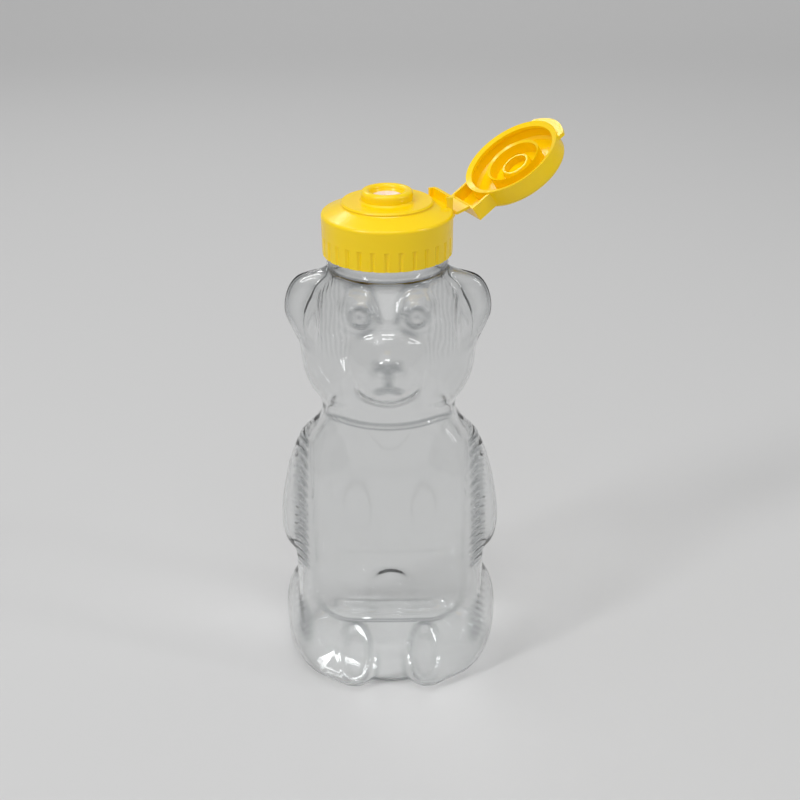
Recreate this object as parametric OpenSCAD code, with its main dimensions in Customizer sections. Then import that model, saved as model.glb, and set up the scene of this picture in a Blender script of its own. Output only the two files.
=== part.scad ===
// Honey bear squeeze bottle with a flip-top valve closure.
// Upright, base on z = 0, bottle axis on Z, bear facing -Y, lid standing open.

/* [Blown body] */
// Height of the blown bear, base to the foot of the neck finish
body_h = 147.6; // [140:0.1:156]
// Wall of the blown body
body_wall = 0.9; // [0.7:0.1:1.2]
// Rounding where the body meets its flat base
base_round = 2.4; // [1.5:0.1:3]
// Radius of the waist between head and torso
waist_r = 21.6; // [20:0.1:22.5]

/* [Torso] */
// Half width of the torso
torso_w = 31.4; // [30:0.1:33]
// Torso reach to the front
torso_front = 23.6; // [22:0.1:25]
// Torso reach to the back
torso_back = 24.2; // [22:0.1:26]
// How square the torso is in plan, 2 being an ellipse
torso_square = 3.9; // [2.6:0.1:5]
// Height of the torso's middle
torso_z = 41; // [38:0.5:46]
// Torso reach above and below its middle
torso_rise = 59.5; // [55:0.5:63]
// Half width of the sunk label panels, front and back
panel_w = 22.2; // [18:0.1:24]
// Depth of the sunk label panels
panel_sink = 0.8; // [0.3:0.1:1.2]
// Lower and upper edge of the front label panel
front_panel = [35, 94];
// Lower and upper edge of the back label panel
back_panel = [25.5, 88];

/* [Head] */
// Half width of the head
head_w = 28; // [26:0.1:30]
// Half depth of the head
head_d = 25.5; // [23:0.1:28]
// Height of the head's middle
head_z = 119; // [115:0.5:123]
// Head reach above and below its middle
head_rise = 26; // [23:0.5:28]
// Half width of the muzzle
muzzle_w = 12.3; // [10:0.1:14]
// Half height of the muzzle
muzzle_h = 12.4; // [10:0.1:14]
// Half depth of the muzzle
muzzle_d = 14; // [12:0.1:16]
// Muzzle reach in front of the bottle axis
muzzle_front = 33.5; // [31:0.1:35]
// Height of the muzzle's middle
muzzle_z = 119.5; // [116:0.5:123]
// Nose reach in front of the bottle axis
nose_front = 35.5; // [33:0.1:37]
// Height of the nose
nose_z = 123.5; // [121:0.5:128]
// Nose half sizes: sideways, front to back, height
nose_size = [5.3, 6, 3.4];
// Brow centre: sideways, front to back, height
brow_at = [8.6, -17.5, 136];
// Brow half sizes: sideways, front to back, height
brow_size = [7, 7.6, 6.2];
// Ear centre: sideways, front to back, height
ear_at = [24.2, 1, 129.8];
// Ear half sizes: sideways, front to back, height
ear_size = [8.7, 4.6, 12.4];

/* [Limbs and tail] */
// Arm centre: sideways, front to back, height
arm_at = [25.4, -1.9, 68.6];
// Arm half sizes: sideways, front to back, height
arm_size = [9.4, 12.6, 23.8];
// Inward lean of the arm towards the shoulder, per unit of height
arm_lean = 0.19; // [0.1:0.01:0.3]
// Thigh centre
thigh_at = [20.9, -0.8, 13.4];
// Thigh half sizes
thigh_size = [14.3, 24.1, 20.1];
// Turn of the thighs, knees towards the middle
thigh_turn = 21; // [15:1:27]
// Foot centre
foot_at = [12.4, -14.5, 12.6];
// Foot half sizes
foot_size = [9.4, 12.5, 16];
// Rump cheek centre
rump_at = [16, 12, 13];
// Rump cheek half sizes
rump_size = [15, 14, 17];
// Tail centre
tail_at = [0, 20.5, 8.5];
// Tail half sizes
tail_size = [9.4, 8, 9.5];

/* [Neck finish] */
// Height of the neck finish, from the blown body to the lip
finish_h = 12.2; // [11:0.1:13]
// Outside radius of the neck tube, under the screw thread
neck_r = 17.5; // [17.2:0.05:17.8]
// Wall of the neck
neck_wall = 1.95; // [1.7:0.05:2.2]
// How far the collar at the foot of the neck stands out
bead_out = 0.9; // [0.6:0.05:1.1]
// Height of the bead at the foot of the neck
bead_h = 0.9; // [0.6:0.1:1.0]
// Rounding of the lip
lip_round = 0.5; // [0.2:0.1:0.8]

/* [Closure base] */
// Room between the neck and the skirt, which the screw threads take up
thread_room = 1.45; // [1.4:0.05:1.6]
// Draft of the skirt, how much smaller its radius is at the bottom
skirt_draft = 0.2; // [0:0.05:0.3]
// Skirt length below the sealing land
skirt_drop = 11.1; // [10:0.1:11.1]
// Skirt wall
skirt_wall = 1.3; // [1.1:0.05:1.4]
// Rounding of the shoulder edge
shoulder_round = 1.1; // [0.6:0.1:1.5]
// Height of the shoulder above the sealing land
shoulder_h = 1.75; // [1.6:0.05:2.2]
// Width of the sloping ledge round the raised centre deck
ledge_w = 6.25; // [6:0.05:6.6]
// Height of the centre deck above the sealing land
deck_h = 5.05; // [4.8:0.05:5.4]
// Height of the step at the edge of the centre deck
deck_step = 1.2; // [1:0.05:1.5]
// Deck wall
deck_wall = 1.3; // [1.1:0.05:1.5]
// Snap bead on the step, how far it stands out
snap_bead = 0.15; // [0.1:0.05:0.2]
// Spout radius outside
spout_r = 8; // [7.8:0.05:8.2]
// Spout height above the centre deck
spout_h = 3.4; // [3:0.1:3.8]
// Wall of the spout at its lip
spout_lip = 2.85; // [2.6:0.05:3]
// Wall of the spout round the valve
spout_wall = 1.4; // [1.2:0.05:1.5]
// Taper of the orifice, from its mouth down to the valve
orifice_taper = 0.4; // [0.2:0.05:0.5]
// Depth from the spout's lip to the valve
valve_depth = 2; // [1.8:0.1:2.2]
// Rounding of the spout lip
spout_round = 1.2; // [0.8:0.1:1.3]
// Number of grip grooves round the skirt
groove_count = 30; // [20:1:36]
// Height of the grip grooves
groove_h = 6; // [4:0.1:7.5]
// Depth of the grip grooves
groove_d = 0.35; // [0.2:0.05:0.6]
// Width of a grip groove at the skirt's surface
groove_w = 1.3; // [1:0.1:2]
// Length of the plug seal below the sealing land
plug_seal_h = 2.4; // [1.5:0.1:3]
// Wall of the plug seal
plug_seal_wall = 0.9; // [0.7:0.1:1.1]

/* [Valve] */
// Thickness of the valve flange
flange_t = 1.1; // [0.9:0.05:1.3]
// Thickness of the valve head
valve_t = 0.6; // [0.5:0.05:0.8]
// Dish of the valve head
valve_dish = 0.5; // [0.3:0.05:0.7]
// Length of each slit of the crossed pair
slit_len = 5; // [3:0.1:6]
// Width of the slits
slit_w = 0.12; // [0.08:0.01:0.2]
// Height of the retainer ring
retainer_h = 1.7; // [1.4:0.1:2]
// Width of the retainer ring
retainer_w = 1.7; // [1.5:0.05:1.9]

/* [Hinge] */
// Direction of the hinge round the bottle, from +X towards the back
hinge_dir = 25; // [0:1:90]
// Width of the hinge strap
strap_w = 10.4; // [8:0.1:11]
// Distance between the strap's two fold lines
strap_len = 5.5; // [5.2:0.1:6]
// Thickness of the strap
strap_t = 0.9; // [0.7:0.05:1]
// Thickness left at a fold line
fold_t = 0.35; // [0.25:0.05:0.5]
// Distance of the fold lines from the skirt, lid closed
fold_out = 0.5; // [0.45:0.05:0.8]
// Height of the lower fold line above the sealing land
fold_z = -0.8; // [-1.2:0.05:-0.6]
// Fold of the strap between closed and the rest pose, and of the lid on the strap
open_fold = 72.35; // [60:0.25:85]
// Width of the raised wall in front of the hinge pocket
pocket_w = 12.7; // [10:0.1:13]
// Thickness of the pocket wall
pocket_wall = 1.2; // [1:0.05:1.4]
// How far the pocket wall's outer face lies inside the skirt
pocket_in = 0.55; // [0.5:0.05:0.65]

/* [Lid] */
// Width of the lid's rim
lid_rim_w = 1.7; // [1.6:0.05:1.9]
// Room between the spout's lip and the closed lid's roof
lid_room = 1.35; // [1.1:0.05:1.6]
// Wall of the lid
lid_wall = 1.1; // [1:0.05:1.3]
// Rounding of the lid's crown edge
lid_round = 1.8; // [1.5:0.1:2.4]
// How far the plug reaches into the orifice
plug_drop = 1.4; // [1.1:0.1:1.4]
// Wall of the plug
plug_wall = 0.7; // [0.6:0.05:0.9]
// Wall of the ring round the spout
ring_wall = 0.7; // [0.6:0.05:0.9]
// How far the thumb tab stands out from the lid
tab_out = 3; // [2:0.1:4]
// Width of the thumb tab
tab_w = 18; // [14:0.5:20]
// Thickness of the thumb tab
tab_t = 1.3; // [1:0.1:1.6]
// Wall of the lid's hinge block
block_wall = 0.9; // [0.8:0.05:1.2]
// Height of the lid's crown above its hinge block
block_drop = 1.6; // [1.2:0.1:2]

/* [Clearances] */
// Gap between the lip and the sealing land
seal_gap = 0.1; // [0.05:0.01:0.2]
// Radial gap of the plug seal in the bore
plug_gap = 0.25; // [0.1:0.05:0.4]
// Gap of the valve's flange in its seat, all round
flange_gap = 0.2; // [0.1:0.05:0.25]
// Gap round the valve's head and its retainer
valve_gap = 0.08; // [0.05:0.01:0.1]
// Gap between the closed lid's rim and the step under it
rim_gap = 0.05; // [0.05:0.01:0.1]
// Gap between the plug and the orifice
orifice_gap = 0.25; // [0.2:0.05:0.3]
// Gap between the closed lid and what it covers
lid_gap = 0.3; // [0.25:0.05:0.4]
// Gap on each side of a fold line
fold_gap = 0.06; // [0.04:0.01:0.1]

/* [Hidden] */
$fn = 96;
pet = [0.86, 0.92, 0.95, 0.45];
yellow = [1, 0.78, 0.05];

collar_r = neck_r + bead_out;
bore_r = neck_r - neck_wall;
inner_r = neck_r + thread_room;
skirt_r = inner_r + skirt_wall;
deck_r = skirt_r - ledge_w;
step_r = deck_r + lid_gap;
lid_r = step_r + lid_rim_w;
seat_r = spout_r - spout_wall;
valve_r = seat_r - flange_gap;
mouth_r = spout_r - spout_lip;
orifice_r = mouth_r - orifice_taper;
retainer_bore = seat_r - retainer_w;
fold_u = skirt_r + fold_out;
pocket_u = skirt_r - pocket_in;

lip_z = body_h + finish_h;
land_z = lip_z + seal_gap;
skirt_z = land_z - skirt_drop;
shoulder_z = land_z + shoulder_h;
deck_z = land_z + deck_h;
spout_z = deck_z + spout_h;
step_z = deck_z - deck_step;
seat_z = spout_z - valve_depth;
retainer_z = seat_z - flange_t - valve_gap;
lid_z = step_z + rim_gap;
roof_z = spout_z + lid_room;
crown_z = roof_z + lid_wall;
strap_z = land_z + fold_z;

// Grid of the bear's skin
ring_steps = 66;
level_steps = 44;
first_levels = [0, 0.5, 1.4];
// Sharpness of the blend between neighbouring forms
blend = 26;
// Forward tilt of head and torso: height gained at the front
tilt = 2.4;

function smooth(a, b, x) = let (t = max(0, min(1, (x - a) / (b - a)))) t * t * (3 - 2 * t);

// Share of a form's plan size that is left at height dz from its middle
function slice(dz, rise, n) =
    let (s = 1 - pow(abs(dz) / rise, n))
    sign(s) * pow(abs(s), 1 / n);

// Distance from the axis at which a ray in direction t leaves an upright rounded form
function lobe(t, z, at, size, n, lean = 0, turn = 0) =
    let (s = slice(z - at[2], size[2], n),
         cx = at[0] - lean * (z - at[2]),
         ex = cx * cos(turn) - at[1] * sin(turn),
         ey = cx * sin(turn) + at[1] * cos(turn),
         u = cos(t + turn),
         v = sin(t + turn),
         a = pow(u / size[0], 2) + pow(v / size[1], 2),
         b = u * ex / pow(size[0], 2) + v * ey / pow(size[1], 2),
         c = pow(ex / size[0], 2) + pow(ey / size[1], 2) - s * abs(s),
         d = b * b - a * c)
    max(0, (b + sign(d) * sqrt(abs(d))) / a);

// The same for a left and right pair
function pair(t, z, at, size, n, lean = 0, turn = 0) =
    let (u = cos(t) < 0 ? 180 - t : t)
    lobe(u, z, at, size, n, lean, turn);

// Rounded rectangle in plan, with its own reach to the front and the back
function barrel(t, w, front, back, n) =
    let (d = sin(t) < 0 ? front : back)
    pow(pow(abs(cos(t)) / w, n) + pow(abs(sin(t)) / d, n), -1 / n);

// 1 inside a label panel, 0 outside, falling off over its edge
function panel(x, z, span) =
    let (m = pow(abs(x) / panel_w, 8) + pow(abs(z - (span[0] + span[1]) / 2) / ((span[1] - span[0]) / 2), 8))
    1 - smooth(0.7, 1.5, m);

function torso_skin(t, z) =
    let (zt = z + tilt * sin(t),
         r = slice(zt - torso_z, torso_rise, 3) * barrel(t, torso_w, torso_front, torso_back, torso_square),
         sunk = sin(t) < 0 ? panel(r * cos(t), z, front_panel) : panel(r * cos(t), z, back_panel))
    r - panel_sink * sunk * abs(sin(t));

function head_skin(t, z) =
    slice(z + tilt * sin(t) - head_z, head_rise, 2.4) * barrel(t, head_w, head_d, head_d, 2.1);

function core_skin(z) = waist_r + (collar_r - waist_r) * smooth(head_z, body_h - 3, z);

function blended(r) = pow([for (v = r) pow(max(v, 0.01) / 30, blend)] * [for (v = r) 1], 1 / blend) * 30;

function skin(t, z) =
    let (r = blended([
        core_skin(z),
        torso_skin(t, z),
        head_skin(t, z),
        pair(t, z, ear_at, ear_size, 2),
        pair(t, z, brow_at, brow_size, 2),
        lobe(t, z, [0, muzzle_d - muzzle_front, muzzle_z], [muzzle_w, muzzle_d, muzzle_h], 2.2),
        lobe(t, z, [0, nose_size[1] - nose_front, nose_z], nose_size, 2.6),
        pair(t, z, arm_at, arm_size, 2.4, arm_lean),
        pair(t, z, thigh_at, thigh_size, 2.45, 0, thigh_turn),
        pair(t, z, foot_at, foot_size, 2.6),
        pair(t, z, rump_at, rump_size, 2.4),
        lobe(t, z, tail_at, tail_size, 2)]),
        neck = smooth(body_h - 6, body_h - 3, z),
        foot = base_round * (1 - sqrt(1 - pow(max(0, 1 - z / base_round), 2))))
    r * (1 - neck) + collar_r * neck - foot;

// Directions round the axis, closer together at the face, the ears and the back
function direction(i) = let (t = i * 360 / ring_steps) t - 5 * sin(4 * t) - 11 * cos(t);

function wall_at(z) = body_wall + (collar_r - bore_r - body_wall) * smooth(body_h - 6, body_h - 1, z);

levels = concat(first_levels, [for (k = [1:level_steps]) first_levels[2] + (body_h - first_levels[2]) * k / level_steps]);
inner_from = len(first_levels) - 1;

module bear_body() {
    n = ring_steps;
    top = len(levels) - 1;
    outer = [for (z = levels, i = [0:n - 1]) let (t = direction(i), r = skin(t, z)) [r * cos(t), r * sin(t), z]];
    inner = [for (j = [inner_from:top], i = [0:n - 1])
        let (z = levels[j], t = direction(i), r = skin(t, z) - wall_at(z)) [r * cos(t), r * sin(t), z]];
    first = len(outer);
    rows = top - inner_from;
    centre = first + len(inner);
    faces = concat(
        [for (j = [0:top - 1], i = [0:n - 1]) let (k = (i + 1) % n)
            each [[j * n + i, (j + 1) * n + i, (j + 1) * n + k], [j * n + i, (j + 1) * n + k, j * n + k]]],
        [for (j = [0:rows - 1], i = [0:n - 1]) let (k = (i + 1) % n, a = first + j * n)
            each [[a + i, a + n + k, a + n + i], [a + i, a + k, a + n + k]]],
        [for (i = [0:n - 1]) let (k = (i + 1) % n, a = top * n, b = first + rows * n)
            each [[a + i, b + i, b + k], [a + i, b + k, a + k]]],
        [for (i = [0:n - 1]) [centre, i, (i + 1) % n]],
        [for (i = [0:n - 1]) [centre + 1, first + (i + 1) % n, first + i]]);
    color(pet)
        polyhedron(concat(outer, inner, [[0, 0, 0], [0, 0, levels[inner_from]]]), faces);
}

// Quarter arc of a profile, from angle a to b about a centre
function arc(c, r, a, b, n = 6) = [for (k = [0:n]) let (t = a + (b - a) * k / n) c + r * [cos(t), sin(t)]];

module neck_finish() {
    color(pet)
        rotate_extrude()
            polygon(concat(
                [[bore_r, body_h], [collar_r, body_h], [collar_r, body_h + bead_h], [neck_r, body_h + bead_h]],
                arc([neck_r - lip_round, lip_z - lip_round], lip_round, 0, 90),
                arc([bore_r + lip_round, lip_z - lip_round], lip_round, 90, 180)));
}

cone_slope = (step_z - shoulder_z) / (skirt_r - shoulder_round - step_r);
under_r = bore_r - plug_gap - plug_seal_wall;
under_z = shoulder_z + cone_slope * (skirt_r - shoulder_round - under_r) - deck_wall;
boss_z = retainer_z - retainer_h - 0.2;

module closure_profile() {
    polygon(concat(
        [[inner_r, skirt_z], [skirt_r - skirt_draft, skirt_z]],
        arc([skirt_r - shoulder_round, shoulder_z - shoulder_round], shoulder_round, 0, 80),
        [[step_r, step_z], [deck_r, step_z + 0.25], [deck_r, deck_z - 0.7], [deck_r + snap_bead, deck_z - 0.5],
         [deck_r, deck_z - 0.3], [deck_r - 0.3, deck_z], [spout_r + 0.5, deck_z], [spout_r, deck_z + 0.5]],
        arc([spout_r - spout_round, spout_z - spout_round], spout_round, 0, 90),
        arc([mouth_r + spout_round, spout_z - spout_round], spout_round, 90, 180),
        [[orifice_r, seat_z], [seat_r, seat_z], [seat_r, boss_z], [spout_r, boss_z], [spout_r, deck_z - deck_wall],
         [deck_r - deck_wall, deck_z - deck_wall], [under_r, under_z], [under_r, land_z - plug_seal_h],
         [bore_r - plug_gap - 0.3, land_z - plug_seal_h], [bore_r - plug_gap, land_z - plug_seal_h + 0.6],
         [bore_r - plug_gap, land_z], [inner_r, land_z]]));
}

module in_hinge_frame() {
    rotate([0, 0, hinge_dir])
        children();
}

// Root of the strap on the closure, its edge on the lower fold line
module strap_root() {
    in_hinge_frame()
        rotate([90, 0, 0])
            linear_extrude(strap_w, center = true)
                polygon([[pocket_u - 0.3, strap_z], [fold_u - fold_gap, strap_z], [fold_u - fold_gap, strap_z - 0.4],
                         [skirt_r - 0.4, strap_z - 1.7], [pocket_u - 0.3, strap_z - 1.7]]);
}

module cap_base() {
    color(yellow)
        strap_root();
    color(yellow)
        difference() {
            union() {
                rotate_extrude()
                    closure_profile();
                in_hinge_frame()
                    intersection() {
                        translate([pocket_u - 2.6, -pocket_w / 2, land_z + 0.2])
                            cube([2.6, pocket_w, deck_z - land_z - 0.2]);
                        cylinder(r = skirt_r, h = deck_z);
                    }
            }
            // Grip grooves
            for (i = [0:groove_count - 1])
                rotate([0, 0, (i + 0.5) * 360 / groove_count])
                    translate([skirt_r - skirt_draft - groove_d, 0, skirt_z - 1])
                        linear_extrude(groove_h + 1)
                            polygon([[0, -0.1], [2 * groove_d, -groove_w], [2 * groove_d, groove_w], [0, 0.1]]);
            // Flat behind the folded strap, and the pocket behind the raised wall
            in_hinge_frame() {
                translate([pocket_u, -pocket_w / 2 - 0.6, strap_z])
                    cube([4, pocket_w + 1.2, spout_z]);
                translate([deck_r + 1, -pocket_w / 2 + 0.9, shoulder_z + 0.35])
                    cube([pocket_u - pocket_wall - deck_r - 1, pocket_w - 1.8, spout_z]);
            }
        }
}

module slit_valve() {
    head_r = orifice_r - 0.15;
    top_z = seat_z - 0.05;
    color([0.98, 0.86, 0.78])
        difference() {
            rotate_extrude()
                polygon(concat(
                    [[0, top_z - valve_dish - valve_t], [head_r - 0.9, top_z - valve_t]],
                    [[head_r - 0.6, top_z - flange_t], [valve_r, top_z - flange_t], [valve_r, top_z]],
                    [[head_r, top_z], [head_r - 0.3, top_z + 0.25], [head_r - 0.9, top_z + 0.15]],
                    [[0, top_z - valve_dish]]));
            for (a = [0, 90])
                rotate([0, 0, a + 20])
                    translate([-slit_len / 2, -slit_w / 2, retainer_z])
                        cube([slit_len, slit_w, spout_z - retainer_z]);
        }
}

module valve_retainer() {
    color([0.95, 0.94, 0.9])
        rotate_extrude()
            polygon([[retainer_bore, retainer_z - retainer_h], [seat_r - 0.4, retainer_z - retainer_h],
                     [seat_r - valve_gap, retainer_z - retainer_h + 0.4], [seat_r - valve_gap, retainer_z],
                     [retainer_bore + 0.3, retainer_z], [retainer_bore, retainer_z - 0.3]]);
}

// Places a shape drawn at the closed pose at the rest pose, folded open about both fold lines
module folded_open(folds) {
    in_hinge_frame()
        translate([fold_u, 0, strap_z])
            rotate([0, open_fold, 0])
                translate([0, 0, strap_len])
                    rotate([0, folds > 1 ? open_fold : 0, 0])
                        translate([-fold_u, 0, -strap_z - strap_len])
                            children();
}

module hinge_strap() {
    end = fold_gap;
    color(yellow)
        folded_open(1)
            translate([fold_u, 0, strap_z])
                rotate([90, 0, 0])
                    linear_extrude(strap_w, center = true)
                        polygon([[-fold_t / 2, end], [fold_t / 2, end], [strap_t / 2, end + 0.6],
                                 [strap_t / 2, strap_len - end - 0.6], [fold_t / 2, strap_len - end],
                                 [-fold_t / 2, strap_len - end], [-strap_t / 2, strap_len - end - 0.6],
                                 [-strap_t / 2, end + 0.6]]);
}

module lid_profile() {
    ring_in = spout_r + lid_gap;
    plug_z = spout_z - plug_drop;
    plug_r = mouth_r - orifice_gap;
    plug_tip = plug_r - orifice_taper;
    polygon(concat(
        [[0, crown_z + 0.4]],
        [[7, crown_z + 0.3]],
        arc([lid_r - lid_round, crown_z - lid_round], lid_round, 85, 0),
        [[lid_r, lid_z], [step_r, lid_z + 0.6], [step_r, deck_z + 0.3], [lid_r - lid_wall, deck_z + 1.2],
         [lid_r - lid_wall, roof_z - 0.8], [lid_r - lid_wall - 0.8, roof_z], [ring_in + ring_wall, roof_z],
         [ring_in + ring_wall, deck_z + lid_gap], [ring_in, deck_z + lid_gap + 0.5], [ring_in, roof_z],
         [plug_r, roof_z], [plug_r, spout_z - 0.2], [plug_tip, plug_z + 0.2], [plug_tip - 0.2, plug_z],
         [plug_tip - plug_wall, plug_z], [plug_r - plug_wall, roof_z], [0, roof_z]]));
}

module lid() {
    block_out = fold_u + strap_t / 2;
    fold_top = strap_z + strap_len;
    block_z = fold_top - 0.35;
    block_top = crown_z - block_drop;
    block_in = lid_r - 4;
    recess_w = pocket_w + 2 * lid_gap;
    block_w = recess_w + 2 * block_wall;
    color(yellow)
        folded_open(2)
            union() {
                rotate_extrude()
                    lid_profile();
                // Thumb tab opposite the hinge
                intersection() {
                    translate([-tab_out, 0, lid_z + 0.9])
                        cylinder(r = lid_r - 0.6, h = tab_t);
                    difference() {
                        translate([-2 * lid_r, -tab_w / 2, lid_z])
                            cube([2 * lid_r, tab_w, 4]);
                        translate([0, 0, lid_z - 1])
                            cylinder(r = lid_r - 0.5, h = 6);
                    }
                }
                // Hinge block that closes over the pocket wall
                difference() {
                    translate([block_in, -block_w / 2, block_z])
                        cube([block_out - block_in, block_w, block_top - block_z]);
                    translate([block_in - 1, -recess_w / 2, block_z - 1])
                        cube([block_out - block_wall - block_in + 1, recess_w, block_top - block_z]);
                    translate([0, 0, block_z - 1])
                        cylinder(r = lid_r - 0.6, h = 10);
                    // Room for the strap to fold out
                    rotate([90, 0, 0])
                        linear_extrude(strap_w + 0.6, center = true)
                            polygon([[fold_u - 2, block_z - 1], [fold_u - 2, fold_top + fold_gap],
                                     [fold_u, fold_top + fold_gap], [fold_u, fold_top + strap_t / 2],
                                     [fold_u + 1, fold_top + strap_t / 2 + 0.3], [fold_u + 1, block_z - 1]]);
                }
            }
}

bear_body();
neck_finish();
cap_base();
slit_valve();
valve_retainer();
hinge_strap();
lid();
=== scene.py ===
import math

import bmesh
import bpy
import numpy as np
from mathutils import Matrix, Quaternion, Vector


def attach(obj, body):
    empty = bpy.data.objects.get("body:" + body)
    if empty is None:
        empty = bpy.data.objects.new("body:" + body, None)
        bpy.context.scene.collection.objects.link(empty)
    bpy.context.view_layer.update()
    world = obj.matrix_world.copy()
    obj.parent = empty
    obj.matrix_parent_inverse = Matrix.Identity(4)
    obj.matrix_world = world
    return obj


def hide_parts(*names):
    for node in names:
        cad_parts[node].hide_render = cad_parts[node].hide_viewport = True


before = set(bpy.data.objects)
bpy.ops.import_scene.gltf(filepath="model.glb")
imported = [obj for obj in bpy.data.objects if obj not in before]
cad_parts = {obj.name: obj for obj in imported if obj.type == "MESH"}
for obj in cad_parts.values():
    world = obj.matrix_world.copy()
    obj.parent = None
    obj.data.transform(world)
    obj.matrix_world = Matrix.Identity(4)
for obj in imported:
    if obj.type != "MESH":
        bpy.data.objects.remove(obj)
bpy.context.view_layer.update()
scene = bpy.context.scene
mm = 0.001

# Helpers for nodes


def newMaterial(name):
    mat = bpy.data.materials.new(name)
    mat.use_nodes = True
    mat.node_tree.nodes.clear()
    out = mat.node_tree.nodes.new("ShaderNodeOutputMaterial")
    out.location = (900, 0)
    return mat, mat.node_tree, out


def addNode(tree, kind, x, y, **settings):
    node = tree.nodes.new(kind)
    node.location = (x, y)
    for key, value in settings.items():
        setattr(node, key, value)
    return node


def setInputs(node, values):
    for socket, value in values.items():
        node.inputs[socket].default_value = value


# Camera at the photograph's place, in millimetres and degrees

camera = {"at": (3.65, -378.53, 279.75), "pitch": 25.69, "roll": 0.28, "lens": 58.05, "sensor": 36.0,
          "clipStart": 0.01}


def makeCamera(s):
    data = bpy.data.cameras.new("camera")
    data.lens = s["lens"]
    data.sensor_width = s["sensor"]
    data.clip_start = s["clipStart"]
    obj = bpy.data.objects.new("camera", data)
    obj.location = [v * mm for v in s["at"]]
    obj.rotation_mode = "QUATERNION"
    pitch = math.radians(s["pitch"])
    look = Vector((0, math.cos(pitch), -math.sin(pitch)))
    roll = Quaternion(look, math.radians(s["roll"]))
    obj.rotation_quaternion = roll @ look.to_track_quat("-Z", "Y")
    scene.collection.objects.link(obj)
    scene.camera = obj


makeCamera(camera)
print("stage: camera")

# Floor, backdrop and studio light, in metres and degrees

studio = {
    "sheet": {"half": 2.6, "length": 4.2, "front": 1.4, "bend": 1.1, "radius": 0.6, "steps": 48},
    "floor": {"Roughness": 0.9, "Specular IOR Level": 0.1}, "floorShade": 0.62, "worldShade": 0.36,
    "aim": (0, 0, 0.1),
    "boxes": {
        "keyBox": {"at": (-0.62, -0.5, 0.85), "size": (0.12, 0.5), "power": 3.2},
        "fillBox": {"at": (0.8, -0.3, 0.6), "size": (0.08, 0.5), "power": 1.2},
        "topBox": {"at": (0.0, -0.1, 1.1), "size": (0.4, 0.09), "power": 1.6},
        "backBox": {"at": (-0.3, 0.8, 0.8), "size": (0.5, 0.08), "power": 1.2},
    },
    "sky": {"power": 0.8, "spread": 70, "turn": (28, -14, 0)},
}


def makeFloor(s):
    sheet = s["sheet"]
    bend, radius = sheet["bend"], sheet["radius"]
    bm = bmesh.new()
    bmesh.ops.create_grid(bm, x_segments=2, y_segments=sheet["steps"], size=1.0)
    # the far part of the sheet curves up into a backdrop
    for v in bm.verts:
        y = (v.co.y + 1) / 2 * sheet["length"] - sheet["front"]
        z = 0.0
        angle = (y - bend) / radius
        if angle >= math.pi / 2:
            y, z = bend + radius, radius + (y - bend - radius * math.pi / 2)
        elif angle > 0:
            y, z = bend + radius * math.sin(angle), radius * (1 - math.cos(angle))
        v.co = Vector((v.co.x * sheet["half"], y, z))
    for f in bm.faces:
        f.smooth = True
    mesh = bpy.data.meshes.new("floor")
    bm.to_mesh(mesh)
    bm.free()
    obj = bpy.data.objects.new("floor", mesh)
    scene.collection.objects.link(obj)
    mat, tree, out = newMaterial("paleFloor")
    shader = addNode(tree, "ShaderNodeBsdfPrincipled", 600, 0)
    shader.inputs["Base Color"].default_value = (s["floorShade"],) * 3 + (1,)
    setInputs(shader, s["floor"])
    tree.links.new(shader.outputs[0], out.inputs[0])
    mesh.materials.append(mat)


def makeBoxLight(name, s, aim):
    data = bpy.data.lights.new(name, "AREA")
    data.shape = "RECTANGLE"
    data.size, data.size_y = s["size"]
    data.energy = s["power"]
    obj = bpy.data.objects.new(name, data)
    obj.location = s["at"]
    obj.rotation_mode = "QUATERNION"
    obj.rotation_quaternion = (Vector(aim) - Vector(s["at"])).to_track_quat("-Z", "Y")
    scene.collection.objects.link(obj)


def makeSkyLight(s):
    # broad and even, so that the floor stays nearly one shade from front to back
    data = bpy.data.lights.new("skyLight", "SUN")
    data.energy = s["power"]
    data.angle = math.radians(s["spread"])
    obj = bpy.data.objects.new("skyLight", data)
    obj.rotation_euler = [math.radians(v) for v in s["turn"]]
    scene.collection.objects.link(obj)


def makeWorld(shade):
    world = bpy.data.worlds.new("studio")
    scene.world = world
    world.use_nodes = True
    setInputs(world.node_tree.nodes["Background"], {"Color": (1, 1, 1, 1), "Strength": shade})


makeFloor(studio)
for lightName, lightSettings in studio["boxes"].items():
    makeBoxLight(lightName, lightSettings, studio["aim"])
makeSkyLight(studio["sky"])
makeWorld(studio["worldShade"])
scene.view_settings.view_transform = "Standard"
print("stage: floor and light")

# Clear blown PET

petLook = {
    # the darker of the two colours on the next line is painted shade, laid on the wall's tight bends and on
    # the fur strokes
    "ior": 1.57, "roughness": 0.015, "tint": (0.96, 0.965, 0.965), "paintedShadeColour": (0.34, 0.36, 0.37),
    "haze": (0.42, 0.44, 0.44), "density": 60.0,
    "swirl": {"Scale": 90.0, "Detail": 2.0},
    "fur": {"Scale": 210.0, "Distortion": 7.0, "Detail": 1.5, "Detail Scale": 0.55}, "furShade": 0.3,
    "bump": {"Strength": 0.5, "Distance": 0.0001},
    "facing": 0.5, "shadow": {"From Min": 0.45, "From Max": 1.0, "To Min": 0.95, "To Max": 0.4},
}


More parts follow.
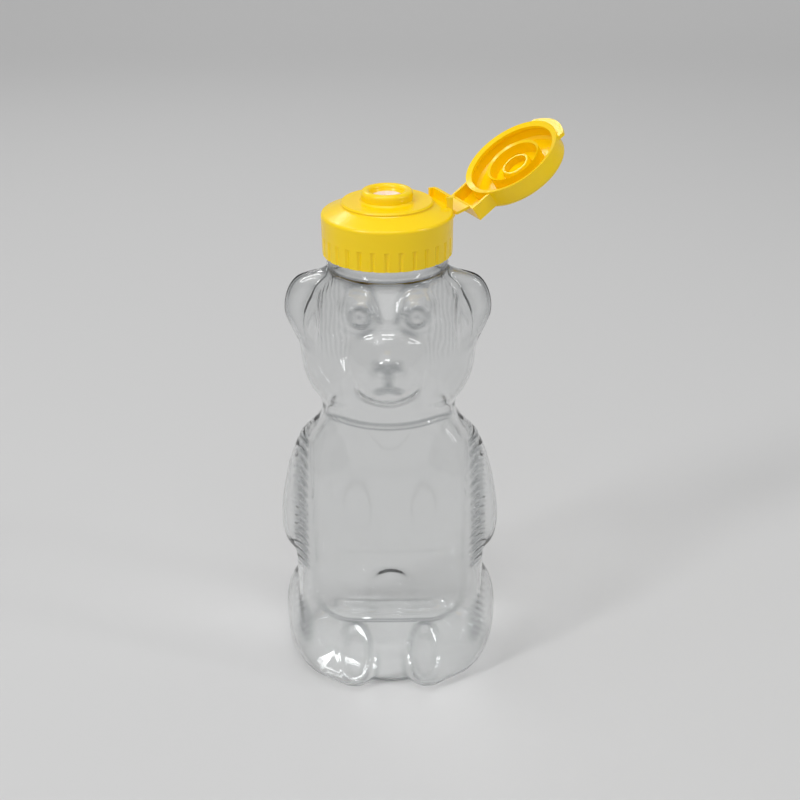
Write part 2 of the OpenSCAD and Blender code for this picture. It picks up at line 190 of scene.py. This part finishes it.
def makePet(s):
    mat, tree, out = newMaterial("clearPet")
    link = tree.links.new
    coord = addNode(tree, "ShaderNodeTexCoord", -1100, 0)
    # faint swirl of the blown wall, and fur strokes where the mesh marks them
    swirl = addNode(tree, "ShaderNodeTexNoise", -800, 0)
    setInputs(swirl, s["swirl"])
    fur = addNode(tree, "ShaderNodeAttribute", -800, -300, attribute_name="furMark")
    strand = addNode(tree, "ShaderNodeTexWave", -800, -500, wave_type="BANDS", bands_direction="X")
    setInputs(strand, s["fur"])
    furDepth = addNode(tree, "ShaderNodeMath", -600, -300, operation="MULTIPLY")
    height = addNode(tree, "ShaderNodeMath", -400, -200, operation="ADD")
    bumps = addNode(tree, "ShaderNodeBump", -200, -200)
    setInputs(bumps, s["bump"])
    link(coord.outputs["Object"], swirl.inputs["Vector"])
    link(coord.outputs["Object"], strand.inputs["Vector"])
    link(fur.outputs["Fac"], furDepth.inputs[0])
    link(strand.outputs["Fac"], furDepth.inputs[1])
    link(swirl.outputs["Fac"], height.inputs[0])
    link(furDepth.outputs[0], height.inputs[1])
    link(height.outputs[0], bumps.inputs["Height"])
    # painted shade: the colour darkens at the wall's tight bends and along the fur strokes, in place of the
    # dark lines that refraction draws there
    bends = addNode(tree, "ShaderNodeAttribute", -800, 300, attribute_name="paintedBendShade")
    paintedShadeAmount = addNode(tree, "ShaderNodeMath", -400, 300, operation="MULTIPLY_ADD", use_clamp=True)
    paintedShadeAmount.inputs[1].default_value = s["furShade"]
    tint = addNode(tree, "ShaderNodeMix", -100, 300, data_type="RGBA")
    tint.inputs["A"].default_value = s["tint"] + (1,)
    tint.inputs["B"].default_value = s["paintedShadeColour"] + (1,)
    shader = addNode(tree, "ShaderNodeBsdfPrincipled", 200, 0)
    shader.inputs["Transmission Weight"].default_value = 1.0
    shader.inputs["IOR"].default_value = s["ior"]
    shader.inputs["Roughness"].default_value = s["roughness"]
    link(furDepth.outputs[0], paintedShadeAmount.inputs[0])
    link(bends.outputs["Fac"], paintedShadeAmount.inputs[2])
    link(paintedShadeAmount.outputs[0], tint.inputs["Factor"])
    link(tint.outputs["Result"], shader.inputs["Base Color"])
    link(bumps.outputs[0], shader.inputs["Normal"])
    # light passes through to the floor, less of it where the wall is seen edge on
    facing = addNode(tree, "ShaderNodeLayerWeight", -400, -600)
    facing.inputs[0].default_value = s["facing"]
    rim = addNode(tree, "ShaderNodeMapRange", -100, -600)
    setInputs(rim, s["shadow"])
    clear = addNode(tree, "ShaderNodeBsdfTransparent", 200, -500)
    path = addNode(tree, "ShaderNodeLightPath", 200, 400)
    mix = addNode(tree, "ShaderNodeMixShader", 600, 0)
    absorb = addNode(tree, "ShaderNodeVolumeAbsorption", 600, -300)
    absorb.inputs["Color"].default_value = s["haze"] + (1,)
    absorb.inputs["Density"].default_value = s["density"]
    link(facing.outputs["Facing"], rim.inputs["Value"])
    link(rim.outputs[0], clear.inputs[0])
    link(path.outputs["Is Shadow Ray"], mix.inputs[0])
    link(shader.outputs[0], mix.inputs[1])
    link(clear.outputs[0], mix.inputs[2])
    link(mix.outputs[0], out.inputs[0])
    link(absorb.outputs[0], out.inputs[1])
    return mat


clearPet = makePet(petLook)

# Form of the blown bear, in millimetres and degrees, from the same rounded forms as the solids

bear = {
    "height": 147.6, "collar": 18.4, "waist": 21.6, "tilt": 2.4, "blend": 26.0, "blendRadius": 30,
    "torso": {"half": 31.4, "front": 23.6, "back": 24.2, "square": 3.9, "z": 41.0, "rise": 59.5,
              "power": 3},
    "head": {"half": 28.0, "front": 25.5, "back": 25.5, "square": 2.1, "z": 119.0, "rise": 26.0,
             "power": 2.4},
    "baseRound": 2.4, "baseEnd": 80, "baseSteps": 7, "recess": 1.0, "recessEdge": (0.72, 0.9),
    "wall": 0.9, "neckWall": 2.85, "innerShare": 0.5, "innerRoom": 0.3,
    "columns": 212, "rowStep": 0.55, "topGap": 0.2, "innerGap": 0.1, "footRows": (9, 8),
    "faceColumns": 1.1, "faceSpread": 24,
    # the last two values: the bend tightness over which the painted shade at bends grows from none to full
    "soften": 2, "innerSoften": 3, "bendFrom": 0.1, "bendTo": 0.6,
}
pairedLobes = {
    "ear": {"at": (24.2, 1.0, 129.8), "size": (8.7, 4.6, 12.4), "power": 2.0},
    "brow": {"at": (8.6, -17.5, 136.0), "size": (7.0, 7.6, 6.2), "power": 2.0},
    "arm": {"at": (25.4, -1.9, 68.6), "size": (9.4, 12.6, 23.8), "power": 2.4, "lean": 0.19},
    "thigh": {"at": (20.9, -0.8, 13.4), "size": (14.3, 24.1, 20.1), "power": 2.45, "turn": 21.0},
    "foot": {"at": (12.4, -14.5, 12.6), "size": (9.4, 12.5, 16.0), "power": 2.6},
    "rump": {"at": (16.0, 12.0, 13.0), "size": (15.0, 14.0, 17.0), "power": 2.4},
}
middleLobes = {
    "muzzle": {"at": (0.0, -19.5, 119.5), "size": (12.3, 14.0, 12.4), "power": 2.2},
    "nose": {"at": (0.0, -29.2, 124.8), "size": (5.2, 6.0, 3.2), "power": 2.6},
    "tail": {"at": (0.0, 20.5, 8.5), "size": (9.4, 8.0, 9.5), "power": 2.0},
}
frontPanel = {"half": 22.0, "low": 34.2, "high": 95.0, "corner": 10.0, "sink": 1.3, "bevel": 0.7}
backPanel = {"half": 22.4, "low": 25.0, "high": 89.0, "corner": 9.0, "sink": 0.9, "bevel": 1.1}
neckFoot, neckTop, collarTop = bear["height"] - 6, bear["height"] - 3, bear["height"] - 1
wallRows = slice(8, -6)  # the rows that are smoothed: not those of the base's edge and the neck


def sine(t):
    return np.sin(np.radians(t))


def cosine(t):
    return np.cos(np.radians(t))


def ease(a, b, x):
    t = np.clip((x - a) / (b - a), 0, 1)
    return t * t * (3 - 2 * t)


def mound(x, width):
    return np.exp(-(x / width) ** 2)


def stripes(along, pitch):
    return np.cos(2 * np.pi * along / pitch)


def sliceShare(dz, rise, power):
    share = 1 - (np.abs(dz) / rise) ** power
    return np.sign(share) * np.abs(share) ** (1 / power)


def roundedForm(t, level, form):
    deep = np.where(sine(t) < 0, form["front"], form["back"])
    power = form["square"]
    outline = (np.abs(cosine(t)) / form["half"]) ** power + (np.abs(sine(t)) / deep) ** power
    return sliceShare(level - form["z"], form["rise"], form["power"]) * outline ** (-1 / power)


# how far out from the axis a lobe reaches, from the ray that meets its slice
def lobeReach(t, z, lobe):
    at, size, turn = lobe["at"], lobe["size"], lobe.get("turn", 0.0)
    share = sliceShare(z - at[2], size[2], lobe["power"])
    cx = at[0] - lobe.get("lean", 0.0) * (z - at[2])
    ex = cx * cosine(turn) - at[1] * sine(turn)
    ey = cx * sine(turn) + at[1] * cosine(turn)
    u, v = cosine(t + turn), sine(t + turn)
    a = (u / size[0]) ** 2 + (v / size[1]) ** 2
    b = u * ex / size[0] ** 2 + v * ey / size[1] ** 2
    c = (ex / size[0]) ** 2 + (ey / size[1]) ** 2 - share * np.abs(share)
    d = b * b - a * c
    return np.maximum(0, (b + np.sign(d) * np.sqrt(np.abs(d))) / a)


def insidePanel(x, z, panel):
    mid, rise = (panel["low"] + panel["high"]) / 2, (panel["high"] - panel["low"]) / 2
    dx = np.abs(x) - panel["half"] + panel["corner"]
    dz = np.abs(z - mid) - rise + panel["corner"]
    outside = np.hypot(np.maximum(dx, 0), np.maximum(dz, 0)) + np.minimum(np.maximum(dx, dz), 0)
    return 1 - ease(-panel["bevel"], panel["bevel"] / 2, outside - panel["corner"])


def skinReach(t, z):
    level = z + bear["tilt"] * sine(t)
    body = roundedForm(t, level, bear["torso"])
    x = body * cosine(t)
    sunk = np.where(sine(t) < 0, frontPanel["sink"] * insidePanel(x, z, frontPanel),
                    backPanel["sink"] * insidePanel(x, z, backPanel))
    skull = roundedForm(t, level, bear["head"])
    core = bear["waist"] + (bear["collar"] - bear["waist"]) * ease(bear["head"]["z"], neckTop, z)
    forms = [core + 0 * t, body - sunk * np.abs(sine(t)), skull]
    mirrored = np.where(cosine(t) < 0, 180 - t, t)
    forms += [lobeReach(mirrored, z, lobe) for lobe in pairedLobes.values()]
    forms += [lobeReach(t, z, lobe) for lobe in middleLobes.values()]
    total = sum((np.maximum(form, 0.01) / bear["blendRadius"]) ** bear["blend"] for form in forms)
    reach = bear["blendRadius"] * total ** (1 / bear["blend"])
    neck = ease(neckFoot, neckTop, z)
    low = np.maximum(0, 1 - z / bear["baseRound"])
    return reach * (1 - neck) + bear["collar"] * neck - bear["baseRound"] * (1 - np.sqrt(1 - low ** 2))


# angles of each row's points, evenly spaced along the skin and closer together at the face
def spreadColumns(levels):
    quarter, samples = bear["columns"] // 4, 361
    columns = []
    for start in (0, 90, 180, 270):
        t = np.linspace(start, start + 90, samples)[None, :] + 0 * levels[:, None]
        reach = skinReach(t, levels[:, None] + 0 * t)
        x, y = reach * cosine(t), reach * sine(t)
        weight = 1 + bear["faceColumns"] * mound((t[:, 1:] - 270), bear["faceSpread"])
        run = np.cumsum(np.hypot(np.diff(x, axis=1), np.diff(y, axis=1)) * weight, axis=1)
        run = np.hstack([np.zeros((len(levels), 1)), run])
        share = np.arange(quarter) / quarter
        columns.append(np.array([np.interp(share * row[-1], row, t[0]) for row in run]))
    angles = np.hstack(columns)
    kernel = np.array([1, 2, 3, 4, 3, 2, 1]) / 16
    padded = np.vstack([angles[:1]] * 3 + [angles] + [angles[-1:]] * 3)
    return sum(k * padded[i:i + len(angles)] for i, k in enumerate(kernel))


def gridNormals(grid):
    across = np.roll(grid, -1, axis=1) - np.roll(grid, 1, axis=1)
    along = np.gradient(grid, axis=0)
    normal = np.cross(across, along)
    return normal / np.maximum(np.linalg.norm(normal, axis=2, keepdims=True), 1e-9)


def softened(grid, passes):
    out = grid.copy()
    for step in range(passes):
        side = (np.roll(out, 1, axis=1) + np.roll(out, -1, axis=1)) / 4 + out / 2
        out[1:-1] = (side[:-2] + side[2:]) / 4 + side[1:-1] / 2
    return out


# Relief of the face: rings and pupils, nostrils, lip line and pads, mouth, tufts between the eyes

face = {
    "shift": 0.25, "front": (-12, -18),
    "eye": {"x": 8.6, "z": 136.6, "ring": 2.7, "width": 0.55, "rise": 0.75, "pupil": 1.3, "sink": 0.8},
    "nostril": {"x": 1.7, "z": 123.2, "half": 1.1, "high": 0.8, "sink": 0.8},
    "lipLine": {"width": 0.6, "sink": 0.6, "top": (0.5, -0.8), "foot": (-5.4, -4.0)},
    "lipPad": {"x": 5.0, "low": 1.2, "squash": 0.7, "width": 2.6, "rise": 0.55},
    "mouth": {"z": 117.2, "slope": 0.42, "width": 0.5, "sink": 0.55, "half": 3.8, "fade": 0.8},
    "tuft": {"inner": (1.6, 2.4), "outer": (2.6, 3.4), "slope": 0.45, "from": 134, "rise": 0.3,
             "foot": (133, 135), "top": (143, 140)},
}


def faceRelief(x, y, z):
    eye, nostril, line, pad = face["eye"], face["nostril"], face["lipLine"], face["lipPad"]
    mouth, tuft = face["mouth"], face["tuft"]
    side = np.abs(x - face["shift"])
    ring = np.hypot(side - eye["x"], z - eye["z"])
    out = eye["rise"] * mound(ring - eye["ring"], eye["width"]) - eye["sink"] * mound(ring, eye["pupil"])
    low = z - nostril["z"]
    pit = np.hypot((side - nostril["x"]) / nostril["half"], low / nostril["high"])
    out -= nostril["sink"] * mound(pit, 1.0)
    out -= line["sink"] * mound(side, line["width"]) * ease(*line["top"], low) * ease(*line["foot"], low)
    out += pad["rise"] * mound(np.hypot(side - pad["x"], (low + pad["low"]) * pad["squash"]), pad["width"])
    curve = z - (mouth["z"] - mouth["slope"] * side)
    reach = ease(mouth["half"] + mouth["fade"], mouth["half"] - mouth["fade"], side)
    out -= mouth["sink"] * mound(curve, mouth["width"]) * reach
    slant = side - tuft["slope"] * (z - tuft["from"])
    strand = ease(*tuft["inner"], slant) - ease(*tuft["outer"], slant)
    out += tuft["rise"] * strand * ease(*tuft["foot"], z) * ease(*tuft["top"], z)
    return out * ease(*face["front"], y)


# Dish in the front of each ear, and the band where the ear's lower end runs softly into the head

earDish = {"sink": 1.5, "edge": (0.45, 0.78), "deep": 2.5, "side": (21, 23.5), "passes": 2,
           "root": {"side": (20, 23), "low": (108, 113), "high": (129, 124), "passes": 8}}


def withEars(grid):
    ear, root = pairedLobes["ear"], earDish["root"]
    x, z = np.abs(grid[..., 0]), grid[..., 2]
    band = ease(*root["side"], x) * ease(*root["low"], z) * ease(*root["high"], z)
    grid = grid + band[..., None] * (softened(grid, root["passes"]) - grid)
    x, y, z = np.abs(grid[..., 0]), grid[..., 1], grid[..., 2]
    rho = np.hypot((x - ear["at"][0]) / ear["size"][0], (z - ear["at"][2]) / ear["size"][2])
    dish = -earDish["sink"] * (1 - ease(*earDish["edge"], rho))
    dish = dish * ease(ear["at"][1], ear["at"][1] - earDish["deep"], y) * ease(*earDish["side"], x)
    grid[wallRows] = softened(grid + gridNormals(grid) * dish[..., None], earDish["passes"])[wallRows]
    return grid


# Strokes on arms and thighs, and the raised pads of the soles

limbs = {
    "crease": 26.2, "creaseLean": 0.05, "creaseFrom": 70,
    "arm": {"inner": 0.7, "outer": (5.4, 4.2), "low": (44, 47), "high": (91, 88), "front": (3, -1),
            "curl": 0.3, "middle": 2.6, "rise": 0.3, "pitch": 2.9},
    "thigh": {"inner": (24.5, 29), "outer": (33, 30), "low": (9, 20), "high": (35, 27), "front": (4, -2),
              "slope": 0.9, "depthSlope": 0.5, "rise": 0.26, "pitch": 2.6},
    "sole": {"x": 11.7, "z": 15.6, "half": 4.9, "rise": 10.6, "front": (-14, -20), "top": (28, 26),
             "edge": (0.7, 1.0), "lift": 0.45, "groove": 0.35, "grooveAt": 1.08, "grooveWidth": 0.1},
}


def limbRelief(x, y, z):
    arm, thigh, sole = limbs["arm"], limbs["thigh"], limbs["sole"]
    side = np.abs(x)
    crease = limbs["crease"] - limbs["creaseLean"] * np.maximum(z - limbs["creaseFrom"], 0)
    there = ease(crease, crease + arm["inner"], side)
    there = there * ease(crease + arm["outer"][0], crease + arm["outer"][1], side)
    there = there * ease(*arm["low"], z) * ease(*arm["high"], z) * ease(*arm["front"], y)
    curl = arm["curl"] * (side - crease - arm["middle"]) ** 2
    out = arm["rise"] * there * stripes(z + curl, arm["pitch"])
    there = ease(*thigh["inner"], side) * ease(*thigh["outer"], side)
    there = there * ease(*thigh["low"], z) * ease(*thigh["high"], z) * ease(*thigh["front"], y)
    slant = z + thigh["slope"] * (side + y * thigh["depthSlope"])
    out += thigh["rise"] * there * stripes(slant, thigh["pitch"])
    foot = np.hypot((side - sole["x"]) / sole["half"], (z - sole["z"]) / sole["rise"])
    groove = sole["groove"] * mound(foot - sole["grooveAt"], sole["grooveWidth"])
    pad = sole["lift"] * (1 - ease(*sole["edge"], foot)) - groove
    out += ease(*sole["front"], y) * ease(*sole["top"], z) * pad
    return out


# Raised frame round the front panel, a band of strokes low on the back, and a bead under the neck

trunk = {
    "frame": {"half": 25.6, "low": 27.8, "high": 99.0, "corner": 13.0, "bevel": 0.6}, "frameRise": 0.75,
    "frameFront": (-6, -12),
    "strokes": {"back": (6, 12), "z": 19.5, "width": 2.6, "side": (23, 21), "rise": 0.3, "pitch": 2.1},
    "bead": {"z": 145.3, "width": 0.7, "rise": 0.45},
}


def trunkRelief(x, y, z):
    strokes, bead = trunk["strokes"], trunk["bead"]
    out = trunk["frameRise"] * insidePanel(x, z, trunk["frame"]) * ease(*trunk["frameFront"], y)
    there = ease(*strokes["back"], y) * mound((z - strokes["z"]) / strokes["width"], 1.0)
    there = there * ease(*strokes["side"], np.abs(x))
    out += strokes["rise"] * there * stripes(x, strokes["pitch"])
    out += bead["rise"] * mound(z - bead["z"], bead["width"])
    return out


def relief(grid):
    x, y, z = grid[..., 0], grid[..., 1], grid[..., 2]
    return faceRelief(x, y, z) + limbRelief(x, y, z) + trunkRelief(x, y, z)


# Fur strokes at the temples, clear of the eyes

furArea = {"inner": (10, 13), "outer": (23, 20), "low": (119, 127), "high": (145, 141), "front": (-3, -9),
           "eye": (3.2, 4.2)}


def furPlaces(grid):
    x, y, z = np.abs(grid[..., 0]), grid[..., 1], grid[..., 2]
    eye = np.hypot(x - face["eye"]["x"], z - face["eye"]["z"])
    temple = ease(*furArea["inner"], x) * ease(*furArea["outer"], x)
    temple = temple * ease(*furArea["low"], z) * ease(*furArea["high"], z)
    return temple * ease(*furArea["front"], y) * ease(*furArea["eye"], eye)


def acrossStep(field):
    return np.linalg.norm(np.roll(field, -1, axis=1) - np.roll(field, 1, axis=1), axis=2)


def alongStep(field):
    return np.linalg.norm(np.gradient(field, axis=0), axis=2)


# painted shade: how far the PET's colour darkens where the outer wall bends tightly
def bendShade(grid):
    normal = gridNormals(grid)
    tight = np.hypot(acrossStep(normal) / acrossStep(grid), alongStep(normal) / alongStep(grid))
    shade = ease(bear["bendFrom"], bear["bendTo"], tight)
    return (shade + np.roll(shade, 1, axis=1) + np.roll(shade, -1, axis=1)) / 3


# Neck finish: support bead, screw thread, rounded lip and bore

finish = {
    "bead": 0.9, "beadEdge": 0.15, "radius": 17.5, "foot": 0.1, "bore": 15.55, "lip": 159.8, "round": 0.5,
    "from": 0.5, "to": 0.9, "rowStep": 0.42,
    "pitch": 4.233, "crest": 1.15, "flank": (1.25, 0.35), "threadLow": 150.4, "threadHigh": 157.2,
    "threadFade": 0.8, "boreFrom": 2, "boreTo": 0.6, "boreRows": 7,
}


def ringRow(radius, z):
    t = np.arange(bear["columns"]) * 360 / bear["columns"]
    return np.stack([radius * cosine(t), radius * sine(t), z + 0 * t], axis=1)


def finishRows(s):
    base = bear["height"]
    beadTop, fade = base + s["bead"], s["threadFade"]
    rows = [ringRow(bear["collar"], base + s["foot"]), ringRow(bear["collar"], beadTop - s["beadEdge"]),
            ringRow(bear["collar"] - s["beadEdge"], beadTop),
            ringRow(s["radius"] + s["foot"], beadTop + s["foot"])]
    t = np.arange(bear["columns"]) * 360 / bear["columns"]
    for z in np.arange(beadTop + s["from"], s["lip"] - s["to"], s["rowStep"]):
        climb = (z - s["threadLow"]) / s["pitch"] - t / 360
        offset = (climb - np.round(climb)) * s["pitch"]
        there = ease(s["threadLow"] - fade, s["threadLow"] + fade, z)
        there = there * ease(s["threadHigh"] + fade, s["threadHigh"] - fade, z)
        ridge = s["crest"] * ease(*s["flank"], np.abs(offset)) * there
        rows.append(ringRow(s["radius"] + ridge, z))
    bends = [(s["round"] * (1 - cosine(a)), s["lip"] - s["round"] * (1 - sine(a))) for a in (0, 30, 60, 90)]
    rows += [ringRow(s["radius"] - inset, z) for inset, z in bends]
    rows += [ringRow(s["bore"] + inset, z) for inset, z in reversed(bends)]
    for z in np.linspace(s["lip"] - s["boreFrom"], base + s["boreTo"], s["boreRows"]):
        rows.append(ringRow(s["bore"], z))
    return rows


# Outer and inner wall of the bear, row by row from the base up


def bottleRows():
    edge = bear["baseRound"] * (1 - cosine(np.linspace(0, bear["baseEnd"], bear["baseSteps"])))
    upright = np.arange(bear["baseRound"], bear["height"] - bear["topGap"], bear["rowStep"])
    levels = np.concatenate([edge, upright])
    angles = spreadColumns(levels)
    reach = skinReach(angles, levels[:, None] + 0 * angles)
    plain = np.stack([reach * cosine(angles), reach * sine(angles), levels[:, None] + 0 * angles], axis=2)
    plain[wallRows] = softened(plain, bear["soften"])[wallRows]
    plain = withEars(plain)
    normal = gridNormals(plain)
    fine = relief(plain)[..., None]
    outer = plain + normal * fine
    outer[0] = plain[0]
    outer[..., 2] = np.clip(outer[..., 2], 0, bear["height"])
    upper = ease(neckFoot, collarTop, levels)
    wall = bear["wall"] + (bear["neckWall"] - bear["wall"]) * upper
    flat = normal.copy()
    flat[:, :, 2] *= (1 - upper)[:, None]
    # the inner wall follows the relief more softly, and always with some room to the outer one
    inner = plain + normal * np.minimum(fine * bear["innerShare"], fine + bear["innerRoom"])
    inner[wallRows] = softened(inner, bear["innerSoften"])[wallRows]
    inner -= flat * wall[:, None, None]
    inner[..., 2] = np.clip(inner[..., 2], bear["wall"], bear["height"] - bear["innerGap"])
    return outer, inner


def baseRows(rim, z, count):
    rows = []
    for share in np.linspace(0, 1, count + 1)[:-1]:
        row = rim * np.array([share, share, 0])
        row[:, 2] = z + bear["recess"] * (1 - ease(*bear["recessEdge"], share))
        rows.append(row)
    return rows


def makeBottle():
    outer, inner = bottleRows()
    under, inside = bear["footRows"]
    rows = baseRows(outer[0], 0, under)
    rows += list(outer) + finishRows(finish)
    rows += list(inner[::-1][::2])
    rows += baseRows(inner[0], bear["wall"], inside)[::-1]
    grid = np.array(rows) * mm
    # the painted shade at tight bends and the fur places go on the points, for the material
    bend = np.zeros(grid.shape[:2])
    bend[under:under + len(outer)] = bendShade(outer)
    fur = np.zeros(grid.shape[:2])
    fur[under:under + len(outer)] = furPlaces(outer)
    bendShadeValues, furValues = [], []
    bm = bmesh.new()
    bmesh.ops.create_uvsphere(bm, u_segments=bear["columns"], v_segments=len(rows) - 1, radius=1)
    # each ring of the sphere takes its place along the wall: under the base, up outside and down inside
    for v in bm.verts:
        row = round(math.acos(max(-1, min(1, -v.co.z))) / math.pi * (len(rows) - 1))
        column = round(math.atan2(v.co.y, v.co.x) / (2 * math.pi) * bear["columns"]) % bear["columns"]
        v.co = grid[row][column]
        bendShadeValues.append(float(bend[row][column]))
        furValues.append(float(fur[row][column]))
    for f in bm.faces:
        f.smooth = True
    mesh = bpy.data.meshes.new("bearBottle")
    bm.to_mesh(mesh)
    bm.free()
    for name, values in (("paintedBendShade", bendShadeValues), ("furMark", furValues)):
        layer = mesh.attributes.new(name, "FLOAT", "POINT")
        layer.data.foreach_set("value", values)
    mesh.materials.append(clearPet)
    obj = bpy.data.objects.new("bearBottle", mesh)
    scene.collection.objects.link(obj)
    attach(obj, "bottle")
    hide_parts("bear_body", "neck_finish")
    print("bottle triangles:", sum(len(f.vertices) - 2 for f in mesh.polygons))


makeBottle()
print("stage: bottle")

# Materials of the closure's solids

yellowLook = {
    "colour": (1.0, 0.68, 0.0), "roughness": 0.26, "ior": 1.49, "grain": 2500.0,
    "bump": {"Strength": 0.06, "Distance": 0.00005},
    "glow": {"Subsurface Weight": 0.15, "Subsurface Scale": 0.5,
             "Subsurface Radius": (0.002, 0.001, 0.0002)},
}
siliconeLook = {"colour": (0.93, 0.72, 0.62), "roughness": 0.35, "ior": 1.41}
naturalLook = {"colour": (0.9, 0.88, 0.82), "roughness": 0.4, "ior": 1.49}
milkyGlow = {"Subsurface Weight": 0.5, "Subsurface Scale": 0.001}


def makePlastic(name, s, glow):
    mat, tree, out = newMaterial(name)
    shader = addNode(tree, "ShaderNodeBsdfPrincipled", 300, 0)
    shader.inputs["Base Color"].default_value = s["colour"] + (1,)
    shader.inputs["Roughness"].default_value = s["roughness"]
    shader.inputs["IOR"].default_value = s["ior"]
    setInputs(shader, glow)
    tree.links.new(shader.outputs[0], out.inputs[0])
    return mat, tree, shader


def addGrain(tree, shader, s):
    coord = addNode(tree, "ShaderNodeTexCoord", -900, 0)
    grain = addNode(tree, "ShaderNodeTexNoise", -600, 0)
    grain.inputs["Scale"].default_value = s["grain"]
    bumps = addNode(tree, "ShaderNodeBump", -200, -200)
    setInputs(bumps, s["bump"])
    tree.links.new(coord.outputs["Object"], grain.inputs["Vector"])
    tree.links.new(grain.outputs["Fac"], bumps.inputs["Height"])
    tree.links.new(bumps.outputs[0], shader.inputs["Normal"])


yellowPp, yellowTree, yellowShader = makePlastic("yellowPp", yellowLook, yellowLook["glow"])
addGrain(yellowTree, yellowShader, yellowLook)
silicone = makePlastic("valveSilicone", siliconeLook, milkyGlow)[0]
naturalPp = makePlastic("naturalPp", naturalLook, milkyGlow)[0]
finishes = {"cap_base": yellowPp, "hinge_strap": yellowPp, "lid": yellowPp, "slit_valve": silicone,
            "valve_retainer": naturalPp}
for node, mat in finishes.items():
    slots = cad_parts[node].data.materials
    slots.clear()
    slots.append(mat)
print("stage: materials")
